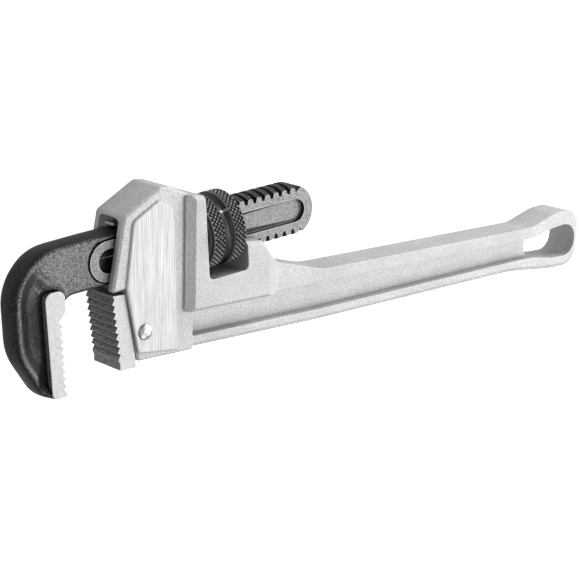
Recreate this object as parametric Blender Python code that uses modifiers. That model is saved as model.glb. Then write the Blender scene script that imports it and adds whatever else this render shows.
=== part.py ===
"""Straight pipe wrench with a cast aluminium body.

The wrench lies on its side.  +X runs along the handle to its hanging loop, +Y points from the handle
towards the top of the housing, +Z is up.  The layout is drawn about the centre of the adjusting nut,
and the whole wrench is then moved so that the middle of its footprint is the origin.
Shapes that belong to the hook jaw are drawn along the shank, which leans by SHANK_TILT.
"""
import math

import bmesh
import bpy
from mathutils import Matrix, Vector

MM = 0.001

# Fits
GAP = 0.3 * MM                 # between pieces that touch
SHANK_SIDE_PLAY = 0.6 * MM     # shank in the housing, each side
SHANK_FLOOR_PLAY = 0.5 * MM    # under the shank in the mouth
NUT_END_PLAY = 1.5 * MM        # nut in its window, each end
NUT_RIM_PLAY = 1.3 * MM        # nut above the window's floor
JAW_SWING = math.radians(3.5)  # how far the hook jaw rocks in the housing

# Shank and its thread
SHANK_TILT = math.radians(4.6)
SHANK_HALF = 6.5 * MM          # half thickness across the flats
THREAD_RADIUS = 12.4 * MM
THREAD_DEPTH = 1.9 * MM
THREAD_PITCH = 5.0 * MM
THREAD_CREST = 2.1 * MM        # width of a thread at its crest
THREAD_BASE = 3.5 * MM         # width of a thread at its root
THREAD_START = -44.0 * MM      # end of the thread towards the jaw
THREAD_END = 51.5 * MM         # end of the thread towards the tail
TAIL_END = 56.8 * MM           # tip of the tail
TAIL_RADIUS = 11.8 * MM
NECK_HALF_STEP = 0.5 * MM      # the forged neck is this much thinner than the ground flats
FLAT_START = -67.9 * MM        # front end of the ground flats
FLAT_RADIUS = 8.9 * MM
SLOT_START = -63.5 * MM        # front end of the recess in the flats
SLOT_END = 51.8 * MM
SLOT_RADIUS = 5.4 * MM
SLOT_DEPTH = 2.0 * MM

# Hook
HOOK_FRONT = -106.6 * MM
HOOK_TIP = -55.3 * MM
HOOK_TOP = 11.6 * MM
HOOK_TOP_ROUND = 24.0 * MM
HOOK_TIP_ROUND = 25.0 * MM
HOOK_EDGE = 3.6 * MM             # rounding of the forged rim
HOOK_TIP_RISE = 23.4 * MM        # from the tip up to where the front turns in
NECK_BOTTOM = -11.4 * MM
THROAT_ROUND = 8.5 * MM
HOOK_FACE = -83.9 * MM         # tips of the hook's teeth
HOOK_NOSE = 2.4 * MM           # the throat's nose stands this far in front of the teeth
HOOK_FIRST_TOOTH = -20.5 * MM
HOOK_TEETH = 10
HOOK_TOOTH_PITCH = 3.3 * MM
TOOTH_DEPTH = 1.4 * MM
LAND_BACK = -91.3 * MM         # rear edge of the ground land beside the teeth

# Nut
NUT_RADIUS = 16.8 * MM
NUT_LENGTH = 19.4 * MM
NUT_CHAMFER = 1.8 * MM
NUT_GROOVE_WIDTH = 3.6 * MM
NUT_GROOVE_DEPTH = 1.3 * MM
NUT_GROOVE_SLOPE = 0.5 * MM

# Housing, seen from the side
HOUSING_HALF = 10.5 * MM
PANEL_RISE = 1.0 * MM
BLOCK_HALF = 14.5 * MM         # nut block
LIP_TOP = (-53.0 * MM, 14.3 * MM)
LIP_BOTTOM = (-59.0 * MM, -18.0 * MM)
SEAT_TOP_X = -51.6 * MM
SEAT_BOTTOM_X = -45.7 * MM
HOUSING_BOTTOM = -50.3 * MM
HOUSING_REAR_X = -20.6 * MM
RIDGE_FRONT = (-34.0 * MM, 25.0 * MM)
RIDGE_REAR = (-29.0 * MM, 24.8 * MM)
BLOCK_TOP_Y = 18.6 * MM
BLOCK_FRONT_X = -21.1 * MM     # foot of the slope up to the nut block
BLOCK_BOTTOM_Y = -32.0 * MM
TOWER_TOP_Y = -3.9 * MM        # rear wall of the window, beside the shank
TOWER_REAR_X = 21.5 * MM
TOWER_FOOT = (33.0 * MM, -18.0 * MM)
BLOCK_REAR_X = 25.0 * MM       # the block's sides come in to the handle from here
BLOCK_FOOT_X = 35.0 * MM       # and meet it here
BLOCK_SLOPE = 3.6 * MM         # width of the sloping band in front of the block
WINDOW_CORNER = 2.5 * MM
ROOF_Y = THREAD_RADIUS + 2.6 * MM  # roof of the housing's cavity, above the nut's centre
ROOF_RISE = 3.6 / 80.0         # the roof climbs this much towards the mouth
ROOF_ROUND = 3.6 * MM          # round corners of the roof
MOUTH_SINK = 2.0 * MM          # the floor is this much lower in front of the heel jaw's seat
BODY_EDGE = 1.5 * MM           # chamfers of the casting
PANEL_EDGE = 0.5 * MM
FAR = 60.0 * MM                # cutters reach this far past what they cut

# Handle and loop
FLANGE_HALF = 8.6 * MM
WEB_HALF = 3.0 * MM
HANDLE_TOP_Y = -25.9 * MM
HANDLE_BOTTOM_Y = -50.2 * MM
HANDLE_WAIST_Y = -47.3 * MM    # bottom edge where the handle is slimmest
HANDLE_TOP_START_X = 62.0 * MM
HANDLE_TAPER_X = 60.0 * MM      # the bottom edge starts to rise here
HANDLE_BOTTOM_EDGE = 2.3 * MM
HANDLE_WAIST_X = 194.0 * MM
HANDLE_END_X = 243.7 * MM
LOOP_TOP_Y = -19.6 * MM
LOOP_BOTTOM_Y = -50.3 * MM
LOOP_BELLY_X = 224.0 * MM        # where the loop is highest and lowest
TOP_FLANGE = 6.0 * MM
BOTTOM_FLANGE = 5.4 * MM
CHANNEL_START_X = -16.0 * MM
LOOP_WALL = 3.4 * MM
LOOP_HOLE_START_X = 207.3 * MM
LOOP_RIM_TOP = 7.2 * MM

# Heel jaw and its pin
HEEL_HALF = 9.8 * MM
HEEL_TANG_HALF = 4.5 * MM
HEEL_FACE_TOP_X = -59.0 * MM   # tips of the teeth, top and bottom
HEEL_FACE_BOTTOM_X = -54.4 * MM
HEEL_TOP_Y = -19.4 * MM
HEEL_BOTTOM_Y = -53.0 * MM
HEEL_TEETH = 9
HEEL_TOOTH_PITCH = 3.1 * MM
HEEL_TANG_DEPTH = 14.0 * MM
TANG_DROP = 2.0 * MM             # top of the tang's slot, below the lip
PIN_AT = (-42.5 * MM, -37.2 * MM)
PIN_RADIUS = 2.5 * MM
PIN_HEAD_RADIUS = 3.6 * MM
PIN_HEAD_RISE = 1.1 * MM

# Springs in the roof
LEAF_WIDTH = 6.0 * MM
LEAF_THICKNESS = 0.9 * MM
LEAF_REAR_S = -16.0 * MM
LEAF_FRONT_S = -52.0 * MM
RIVET_AT_S = -20.0 * MM
RIVET_RADIUS = 1.2 * MM
RIVET_LENGTH = 4.0 * MM
COIL_AT_S = -34.0 * MM
COIL_RADIUS = 2.1 * MM         # to the middle of the wire
COIL_WIRE = 0.35 * MM
COIL_TURNS = 4
COIL_HEIGHT = 4.6 * MM

# How round the shapes are
ARC_STEP = math.radians(15.0)
NUT_STEPS = 48
ARC_POINTS = 6                 # steps across each threaded side of the shank
TAIL_RINGS = 6
TAIL_TIP_HALF = 2.0 * MM
PIN_STEPS = 24

ALUMINIUM = (0.80, 0.80, 0.80)
BLACK_STEEL = (0.045, 0.045, 0.05)
GROUND_STEEL = (0.62, 0.62, 0.61)
SPRING_STEEL = (0.38, 0.38, 0.40)


def clear_scene():
    for thing in list(bpy.data.objects):
        bpy.data.objects.remove(thing, do_unlink=True)


def new_collection(name):
    collection = bpy.data.collections.new(name)
    bpy.context.scene.collection.children.link(collection)
    return collection


def metal(name, colour, roughness):
    material = bpy.data.materials.new(name)
    material.use_nodes = True
    shader = material.node_tree.nodes["Principled BSDF"]
    shader.inputs["Base Color"].default_value = (*colour, 1.0)
    shader.inputs["Roughness"].default_value = roughness
    shader.inputs["Metallic"].default_value = 1.0
    return material


def empty(name, parent, location=(0.0, 0.0, 0.0), turn=0.0):
    frame = bpy.data.objects.new(name, None)
    PARTS.objects.link(frame)
    frame.parent = parent
    frame.location = location
    frame.rotation_euler = (0.0, 0.0, turn)
    return frame


def add_object(name, mesh, parent, collection):
    thing = bpy.data.objects.new(name, mesh)
    collection.objects.link(thing)
    thing.parent = parent
    return thing


def bake(source, name, parent, collection):
    """Turn a curve, or an object with modifiers, into a plain welded mesh in its parent's frame."""
    bpy.context.view_layer.update()
    depsgraph = bpy.context.evaluated_depsgraph_get()
    mesh = bpy.data.meshes.new_from_object(source.evaluated_get(depsgraph), depsgraph=depsgraph)
    mesh.transform(source.matrix_local)
    bm = bmesh.new()
    bm.from_mesh(mesh)
    bmesh.ops.remove_doubles(bm, verts=bm.verts, dist=1e-6)
    bm.to_mesh(mesh)
    bm.free()
    bpy.data.objects.remove(source, do_unlink=True)
    mesh.name = name
    return add_object(name, mesh, parent, collection)


def join_flat_faces(mesh):
    """Make each flat side one face, so that a bevel has its full width."""
    bm = bmesh.new()
    bm.from_mesh(mesh)
    bmesh.ops.dissolve_limit(bm, angle_limit=math.radians(0.1), verts=bm.verts, edges=bm.edges)
    bm.to_mesh(mesh)
    bm.free()


def filleted(corners):
    """Outline with rounded corners: each corner is (x, y) or (x, y, radius)."""
    outline = []
    count = len(corners)
    for i, corner in enumerate(corners):
        here = Vector(corner[:2])
        radius = corner[2] if len(corner) > 2 else 0.0
        to_last = (Vector(corners[i - 1][:2]) - here).normalized()
        to_next = (Vector(corners[(i + 1) % count][:2]) - here).normalized()
        angle = to_last.angle(to_next)
        if radius <= 0.0 or angle > math.radians(179.0):
            outline.append(here)
            continue
        cut = radius / math.tan(angle / 2)
        centre = here + (to_last + to_next).normalized() * radius / math.sin(angle / 2)
        first = here + to_last * cut - centre
        turn = first.angle_signed(here + to_next * cut - centre)
        steps = max(2, round(abs(turn) / ARC_STEP))
        for k in range(steps + 1):
            outline.append(centre + Matrix.Rotation(-turn * k / steps, 2) @ first)
    return outline


def plate(name, corners, low, high, parent, collection=None):
    """Flat outline made as a filled 2D curve, from z = low to z = high."""
    outline = filleted(corners)
    curve = bpy.data.curves.new(name, "CURVE")
    curve.dimensions = "2D"
    curve.fill_mode = "BOTH"
    curve.extrude = (high - low) / 2
    spline = curve.splines.new("POLY")
    spline.points.add(len(outline) - 1)
    for point, place in zip(spline.points, outline):
        point.co = (place.x, place.y, 0.0, 1.0)
    spline.use_cyclic_u = True
    collection = collection or CUTTERS
    flat = add_object(name + "_curve", curve, None, collection)
    flat.location.z = (high + low) / 2
    flat = bake(flat, name, parent, collection)
    join_flat_faces(flat.data)
    return flat


def stadium(start, end, radius):
    """Outline of a slot along X with round ends."""
    return [(start, -radius, radius), (end, -radius, radius), (end, radius, radius), (start, radius, radius)]


def rod(name, start, end, radius, steps, parent, collection=None):
    """Cylinder between two points."""
    axis = Vector(end) - Vector(start)
    mesh = bpy.data.meshes.new(name)
    bm = bmesh.new()
    turn = Vector((0, 0, 1)).rotation_difference(axis).to_matrix().to_4x4()
    where = Matrix.Translation((Vector(start) + Vector(end)) / 2) @ turn
    bmesh.ops.create_cone(
        bm, cap_ends=True, segments=steps, radius1=radius, radius2=radius, depth=axis.length, matrix=where)
    bm.to_mesh(mesh)
    bm.free()
    return add_object(name, mesh, parent, collection or CUTTERS)


def turned(name, profile, steps, parent, collection=None):
    """Profile in the XZ plane turned about Z."""
    mesh = bpy.data.meshes.new(name)
    ring = profile[0][0] > 0.0
    edges = [(i, (i + 1) % len(profile)) for i in range(len(profile) if ring else len(profile) - 1)]
    mesh.from_pydata([(x, 0.0, z) for x, z in profile], edges, [])
    thing = add_object(name + "_profile", mesh, None, collection or CUTTERS)
    screw = thing.modifiers.new("turn", "SCREW")
    screw.axis = "Z"
    screw.steps = steps
    screw.render_steps = steps
    screw.use_merge_vertices = True
    screw.merge_threshold = 1e-6
    screw.use_smooth_shade = False
    return bake(thing, name, parent, collection or CUTTERS)


def close_and_face_out(thing):
    bm = bmesh.new()
    bm.from_mesh(thing.data)
    bmesh.ops.holes_fill(bm, edges=[edge for edge in bm.edges if edge.is_boundary])
    bmesh.ops.recalc_face_normals(bm, faces=bm.faces)
    bm.to_mesh(thing.data)
    bm.free()


def lay_along_shank(thing):
    """Turn a piece made about Z so that its axis runs along X."""
    thing.data.transform(Matrix.Rotation(math.pi / 2, 4, "Y"))


def boolean(target, tool, operation):
    cut = target.modifiers.new(tool.name, "BOOLEAN")
    cut.operation = operation
    cut.object = tool
    cut.solver = "EXACT"
    tool.hide_render = True
    tool.display_type = "WIRE"


def bevel(thing, width, segments, angle=40.0):
    edge = thing.modifiers.new("edge", "BEVEL")
    edge.width = width
    edge.segments = segments
    edge.limit_method = "ANGLE"
    edge.angle_limit = math.radians(angle)


def bevel_rim(thing, width, segments, half, wanted):
    """Bevel the rim edges of a plate whose middle passes a test."""
    bm = bmesh.new()
    bm.from_mesh(thing.data)
    weight = bm.edges.layers.float.new("bevel_weight_edge")
    for edge in bm.edges:
        a, b = (vert.co for vert in edge.verts)
        on_rim = abs(abs(a.z) - half) < 1e-6 and abs(a.z - b.z) < 1e-6
        if on_rim and edge.calc_face_angle(0.0) > math.radians(45.0) and wanted((a + b) / 2):
            edge[weight] = 1.0
    bm.to_mesh(thing.data)
    bm.free()
    edge = thing.modifiers.new("edge", "BEVEL")
    edge.width = width
    edge.segments = segments
    edge.limit_method = "WEIGHT"
    edge.use_clamp_overlap = False


def finish(thing, name, material, parent):
    """Keep a built shape as a named part with its material."""
    part = bake(thing, name, parent, PARTS)
    part.data.materials.clear()
    part.data.materials.append(material)
    part.data.shade_smooth()
    part.data.set_sharp_from_angle(angle=math.radians(30.0))
    return part


def on_shank(s, t):
    """Layout point of a place given along and across the shank."""
    c, n = math.cos(SHANK_TILT), math.sin(SHANK_TILT)
    return (s * c - t * n, s * n + t * c)


def teeth_down(face_x, y, pitch, count, depth, lean=0.0):
    """Corners of a row of saw teeth that runs down from y; depth is towards -X when negative."""
    corners = []
    for i in range(count):
        top = y - i * pitch
        corners.append((face_x - lean * (top - y) + depth, top))
        corners.append((face_x - lean * (top - 0.75 * pitch - y), top - 0.75 * pitch))
    return corners


def handle_outline():
    return [
        (CHANNEL_START_X, HANDLE_BOTTOM_Y),
        (HANDLE_TAPER_X, HANDLE_BOTTOM_Y, 400.0 * MM),
        (HANDLE_WAIST_X, HANDLE_WAIST_Y, 100.0 * MM),
        (LOOP_BELLY_X, LOOP_BOTTOM_Y, 30.0 * MM),
        (HANDLE_END_X - 1.5 * MM, LOOP_BOTTOM_Y, 10.0 * MM),
        (HANDLE_END_X, (LOOP_TOP_Y + LOOP_BOTTOM_Y) / 2),
        (HANDLE_END_X - 3.5 * MM, LOOP_TOP_Y, 9.5 * MM),
        (LOOP_BELLY_X, LOOP_TOP_Y - 1.0 * MM, 20.0 * MM),
        (HANDLE_WAIST_X + 12.0 * MM, HANDLE_TOP_Y, 20.0 * MM),
        (HANDLE_TOP_START_X, HANDLE_TOP_Y, 30.0 * MM),
        (TOWER_FOOT[0], TOWER_FOOT[1]),
        (CHANNEL_START_X, TOWER_FOOT[1]),
    ]


def housing_outline():
    return [
        (SEAT_BOTTOM_X, HOUSING_BOTTOM),
        (HOUSING_REAR_X, HOUSING_BOTTOM, 2.0 * MM),
        (CHANNEL_START_X + 1.0 * MM, HANDLE_BOTTOM_Y),
        (CHANNEL_START_X + 1.0 * MM, BLOCK_TOP_Y),
        (RIDGE_REAR[0], RIDGE_REAR[1], 4.0 * MM),
        (RIDGE_FRONT[0], RIDGE_FRONT[1], 3.0 * MM),
        (LIP_TOP[0], LIP_TOP[1], 2.5 * MM),
        (LIP_BOTTOM[0], LIP_BOTTOM[1], 1.0 * MM),
        (SEAT_TOP_X, LIP_BOTTOM[1] + 0.7 * MM),
    ]


def block_outline():
    front = BLOCK_FRONT_X
    return [
        (front, BLOCK_BOTTOM_Y),
        (BLOCK_FOOT_X, BLOCK_BOTTOM_Y),
        (BLOCK_FOOT_X, TOWER_FOOT[1] - 1.0 * MM),
        (TOWER_REAR_X + 6.0 * MM, TOWER_FOOT[1] + 4.0 * MM, 12.0 * MM),
        (TOWER_REAR_X, TOWER_TOP_Y - 1.5 * MM, 4.0 * MM),
        (0.0, TOWER_TOP_Y),
        (0.0, BLOCK_TOP_Y - 1.0 * MM),
        (front, BLOCK_TOP_Y + 1.6 * MM),
    ]


def panel_outline():
    return [
        (-46.0 * MM, -46.4 * MM, 1.0 * MM),
        (-24.7 * MM, -48.5 * MM, 1.0 * MM),
        (-26.2 * MM, 3.2 * MM, 20.0 * MM),
        (-28.1 * MM, 16.4 * MM, 2.0 * MM),
        (-35.1 * MM, 19.7 * MM, 2.0 * MM),
        (-48.7 * MM, 12.0 * MM, 3.0 * MM),
        (-52.3 * MM, -17.0 * MM, 1.0 * MM),
    ]


def make_handle_body():
    body = plate("housing", housing_outline(), -HOUSING_HALF, HOUSING_HALF, LAYOUT)
    bevel(body, BODY_EDGE, 1)
    block = make_nut_block()
    panel = plate("panel", panel_outline(), -HOUSING_HALF - PANEL_RISE, HOUSING_HALF + PANEL_RISE, LAYOUT)
    bevel(panel, PANEL_EDGE, 1)
    handle = plate("handle_bar", handle_outline(), -FLANGE_HALF, FLANGE_HALF, LAYOUT)
    bevel_rim(handle, HANDLE_BOTTOM_EDGE, 2, FLANGE_HALF, is_handle_bottom)
    for shape in (block, panel, handle):
        boolean(body, shape, "UNION")
    cut_shank_way(body)
    cut_handle(body)
    cut_heel_seat(body)
    cut_spring_holes(body)
    return finish(body, "handle_body", MATERIALS["cast_aluminium"], LAYOUT)


def is_handle_bottom(place):
    return place.y < (HANDLE_TOP_Y + HANDLE_BOTTOM_Y) / 2


def make_nut_block():
    """Thick block round the nut's window, with a sloping band in front and sides that come in behind."""
    block = plate("nut_block", block_outline(), -BLOCK_HALF, BLOCK_HALF, LAYOUT)
    bevel(block, BODY_EDGE, 1)
    foot = HOUSING_HALF + PANEL_RISE
    front, rear, end = BLOCK_FRONT_X, BLOCK_REAR_X, BLOCK_FOOT_X
    for side in (-1, 1):
        foot_z, side_z, out_z, bar_z = (side * z for z in (foot, BLOCK_HALF, BLOCK_HALF + FAR, FLANGE_HALF))
        front_cut = plate("block_front_slope", [
            (front - FAR, foot_z), (front, foot_z), (front + BLOCK_SLOPE, side_z),
            (front + BLOCK_SLOPE, out_z), (front - FAR, out_z)], -FAR, FAR, LAYOUT)
        rear_cut = plate("block_rear_slope", [
            (rear, side_z), (end, bar_z), (end + FAR, bar_z), (end + FAR, out_z), (rear, out_z)], -FAR, FAR, LAYOUT)
        for cut in (front_cut, rear_cut):
            cut.data.transform(Matrix.Rotation(math.pi / 2, 4, "X"))
            boolean(block, cut, "DIFFERENCE")
    return block


def cut_shank_way(body):
    """Window for the nut and the way for the shank, deeper behind so that the tail can drop when the jaw rocks."""
    half_window = NUT_LENGTH / 2 + NUT_END_PLAY
    window_floor = -NUT_RADIUS - NUT_RIM_PLAY
    window = plate("window", [
        (-half_window, window_floor, WINDOW_CORNER), (half_window, window_floor, WINDOW_CORNER),
        (half_window, FAR), (-half_window, FAR)], -FAR, FAR, SHANK)
    floor = -THREAD_RADIUS - SHANK_FLOOR_PLAY
    half = SHANK_HALF + SHANK_SIDE_PLAY
    drop = math.tan(JAW_SWING)
    mouth = SEAT_TOP_X - FAR
    tunnel = plate("tunnel", [
        (mouth, floor - MOUTH_SINK), (SEAT_TOP_X, floor - MOUTH_SINK), (SEAT_TOP_X, floor), (0.0, floor),
        (FAR, floor - drop * FAR), (FAR, FAR), (0.0, FAR), (0.0, roof_height(0.0)), (mouth, roof_height(mouth))],
        -half, half, SHANK)
    bevel_rim(tunnel, ROOF_ROUND, 3, half, lambda place: place.x < -half and place.y > ROOF_Y)
    boolean(body, window, "DIFFERENCE")
    boolean(body, tunnel, "DIFFERENCE")


def cut_handle(body):
    """Channel along each side of the handle, and the hole of the loop."""
    for side in (-1, 1):
        low, high = sorted((side * WEB_HALF, side * FAR))
        channel = plate("channel", channel_outline(), low, high, LAYOUT)
        boolean(body, channel, "DIFFERENCE")
    hole = plate("loop_hole", loop_hole_outline(), -FAR, FAR, LAYOUT)
    boolean(body, hole, "DIFFERENCE")


def cut_heel_seat(body):
    """Slot for the heel jaw's tang, and the hole for its pin."""
    top = LIP_BOTTOM[1] - TANG_DROP
    rear = PIN_AT[0] + HEEL_TANG_DEPTH / 2
    slot = plate("heel_slot", [
        (rear - FAR, HEEL_BOTTOM_Y - FAR), (rear, HEEL_BOTTOM_Y - FAR), (rear, top, 2.0 * MM), (rear - FAR, top)],
        -HEEL_TANG_HALF - GAP, HEEL_TANG_HALF + GAP, LAYOUT)
    boolean(body, slot, "DIFFERENCE")
    pin_hole = rod("pin_hole", (*PIN_AT, -FAR), (*PIN_AT, FAR), PIN_RADIUS + GAP, PIN_STEPS, LAYOUT)
    boolean(body, pin_hole, "DIFFERENCE")


def cut_spring_holes(body):
    """Pocket for the coil spring and hole for the rivet, both up into the roof."""
    for name, s, depth, radius in (
            ("coil_pocket", COIL_AT_S, COIL_HEIGHT, COIL_RADIUS + COIL_WIRE + 2 * GAP),
            ("rivet_hole", RIVET_AT_S, RIVET_LENGTH, RIVET_RADIUS + GAP / 2)):
        roof = roof_height(s)
        hole = rod(name, (s, roof - GAP, 0.0), (s, roof + depth, 0.0), radius, PIN_STEPS, SHANK)
        boolean(body, hole, "DIFFERENCE")


def roof_height(s):
    """Roof of the cavity above the shank, in the shank's frame."""
    return ROOF_Y - ROOF_RISE * s


def channel_outline():
    top = HANDLE_TOP_Y - TOP_FLANGE
    return [
        (CHANNEL_START_X, HANDLE_BOTTOM_Y + BOTTOM_FLANGE, 3.0 * MM),
        (HANDLE_TAPER_X, HANDLE_BOTTOM_Y + BOTTOM_FLANGE, 400.0 * MM),
        (HANDLE_WAIST_X, HANDLE_WAIST_Y + BOTTOM_FLANGE, 100.0 * MM),
        (LOOP_HOLE_START_X + 6.0 * MM, HANDLE_WAIST_Y + BOTTOM_FLANGE),
        (LOOP_HOLE_START_X + 6.0 * MM, top + 0.6 * MM),
        (CHANNEL_START_X, top),
    ]


def loop_hole_outline():
    end = HANDLE_END_X - LOOP_WALL
    return [
        (LOOP_HOLE_START_X, HANDLE_WAIST_Y + BOTTOM_FLANGE + 0.2 * MM, 4.0 * MM),
        (LOOP_BELLY_X, LOOP_BOTTOM_Y + BOTTOM_FLANGE + 0.6 * MM, 30.0 * MM),
        (end, LOOP_BOTTOM_Y + BOTTOM_FLANGE + 0.6 * MM, 8.0 * MM),
        (end, LOOP_TOP_Y - LOOP_RIM_TOP, 8.0 * MM),
        (LOOP_BELLY_X, LOOP_TOP_Y - LOOP_RIM_TOP - 1.2 * MM, 30.0 * MM),
        (LOOP_HOLE_START_X, HANDLE_TOP_Y - TOP_FLANGE + 0.4 * MM, 4.0 * MM),
    ]


def hook_outline():
    """Forged hook and neck, drawn along the shank."""
    face = HOOK_FACE - TOOTH_DEPTH
    return [
        (THREAD_START, NECK_BOTTOM),
        (THREAD_START, THREAD_RADIUS),
        (HOOK_FRONT, HOOK_TOP, HOOK_TOP_ROUND),
        (HOOK_FRONT - 0.5 * MM, HOOK_TIP + HOOK_TIP_RISE, HOOK_TIP_ROUND),
        (HOOK_FRONT + 10.1 * MM, HOOK_TIP + 4.3 * MM, HOOK_TIP_ROUND / 2),
        (HOOK_FRONT + 18.6 * MM, HOOK_TIP, 6.0 * MM),
        (face - 0.5 * MM, HOOK_TIP),
        (face, HOOK_FIRST_TOOTH - 2.0 * MM),
        (HOOK_FACE + HOOK_NOSE, HOOK_FIRST_TOOTH + 2.0 * MM, 1.0 * MM),
        (HOOK_FACE + HOOK_NOSE, NECK_BOTTOM, THROAT_ROUND * 0.6),
    ]


def is_forged_rim(place):
    in_front = place.x < HOOK_FACE - 2 * TOOTH_DEPTH
    under_neck = place.x > HOOK_FACE + 9.0 * MM and place.x < THREAD_START - 1.0 * MM
    return place.x < THREAD_START - 1.0 * MM and (in_front or place.y > 0.0 or under_neck)


def land_outline():
    """Ground land with the hook's teeth on its inner edge."""
    tooth_tops = teeth_down(HOOK_FACE, HOOK_FIRST_TOOTH, HOOK_TOOTH_PITCH, HOOK_TEETH, -TOOTH_DEPTH)
    bottom = HOOK_TIP + 1.6 * MM
    top = -7.0 * MM
    return [
        (LAND_BACK, bottom, 3.0 * MM), (LAND_BACK, top, 3.6 * MM),
        (HOOK_FACE + HOOK_NOSE, top, 3.6 * MM), (HOOK_FACE + HOOK_NOSE, HOOK_FIRST_TOOTH + 4.0 * MM, 1.5 * MM),
        *tooth_tops, (HOOK_FACE, bottom, 0.6 * MM)]


def bar_section(s, radius, tallest, helical):
    """Closed ring round the flat-sided bar: over the top, down one flat, under and up the other."""
    ring = []
    for sign in (1, -1):
        for j in range(ARC_POINTS + 1):
            z = sign * SHANK_HALF * (1 - 2 * j / ARC_POINTS)
            t = sign * min(math.sqrt(radius * radius - z * z), tallest)
            lead = THREAD_PITCH * math.atan2(t, z) / (2 * math.pi) if helical else 0.0
            ring.append((s - lead, t, z))
    return ring


def make_threaded_bar():
    """Shank from the neck to the tail: a loft of rings that follow the thread's helix."""
    root = THREAD_RADIUS - THREAD_DEPTH
    flank = (THREAD_BASE - THREAD_CREST) / 2
    rings = [bar_section(THREAD_START - 6.0 * MM, root, root, False)]
    s = THREAD_START + THREAD_PITCH / 2
    while s + THREAD_PITCH < THREAD_END:
        low = s + (THREAD_PITCH - THREAD_BASE) / 2
        for place, radius in (
                (low, root), (low + flank, THREAD_RADIUS),
                (low + flank + THREAD_CREST, THREAD_RADIUS), (low + THREAD_BASE, root)):
            rings.append(bar_section(place, radius, radius, True))
        s += THREAD_PITCH
    centre = TAIL_END - TAIL_RADIUS
    first = rings[-1][0][0] + THREAD_PITCH / 2 + flank
    for k in range(TAIL_RINGS + 1):
        place = first + (TAIL_END - first) * math.sin(math.pi / 2 * k / TAIL_RINGS)
        tallest = math.sqrt(max(TAIL_RADIUS ** 2 - (place - centre) ** 2, TAIL_TIP_HALF ** 2))
        rings.append(bar_section(place, THREAD_RADIUS, tallest, False))
    bm = bmesh.new()
    loops = [[bm.verts.new(place) for place in ring] for ring in rings]
    count = len(loops[0])
    for near, far in zip(loops, loops[1:]):
        for j in range(count):
            k = (j + 1) % count
            bm.faces.new((near[j], near[k], far[k], far[j]))
    bm.faces.new(loops[0])
    bm.faces.new(loops[-1])
    bmesh.ops.recalc_face_normals(bm, faces=bm.faces)
    mesh = bpy.data.meshes.new("threaded_bar")
    bm.to_mesh(mesh)
    bm.free()
    return add_object("threaded_bar", mesh, SHANK, CUTTERS)


def make_hook_jaw():
    bar = make_threaded_bar()
    neck_half = SHANK_HALF - NECK_HALF_STEP
    hook = plate("hook", hook_outline(), -neck_half, neck_half, SHANK)
    bevel_rim(hook, HOOK_EDGE, 3, neck_half, is_forged_rim)
    land = plate("land", land_outline(), -SHANK_HALF, SHANK_HALF, SHANK)
    flats = plate("front_flats", stadium(FLAT_START, THREAD_START + 6.0 * MM, FLAT_RADIUS),
                  -SHANK_HALF, SHANK_HALF, SHANK)
    for shape in (bar, land, flats):
        boolean(hook, shape, "UNION")
    for side in (-1, 1):
        low, high = sorted((side * (SHANK_HALF - SLOT_DEPTH), side * FAR))
        slot = plate("shank_slot", stadium(SLOT_START, SLOT_END, SLOT_RADIUS), low, high, SHANK)
        boolean(hook, slot, "DIFFERENCE")
    return finish(hook, "hook_jaw", MATERIALS["black_steel"], SHANK)


def make_nut():
    bore = THREAD_RADIUS + GAP
    half = NUT_LENGTH / 2
    groove = NUT_GROOVE_WIDTH / 2
    low = NUT_RADIUS - NUT_GROOVE_DEPTH
    end = NUT_RADIUS - NUT_CHAMFER
    profile = [
        (bore, half), (end, half), (NUT_RADIUS, half - 0.7 * NUT_CHAMFER),
        (NUT_RADIUS, groove + NUT_GROOVE_SLOPE), (low, groove - NUT_GROOVE_SLOPE),
        (low, -groove + NUT_GROOVE_SLOPE), (NUT_RADIUS, -groove - NUT_GROOVE_SLOPE),
        (NUT_RADIUS, -half + 0.7 * NUT_CHAMFER), (end, -half), (bore, -half)]
    nut = turned("nut_ring", profile, NUT_STEPS, SHANK)
    close_and_face_out(nut)
    lay_along_shank(nut)
    return finish(nut, "adjusting_nut", MATERIALS["black_steel"], SHANK)


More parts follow.
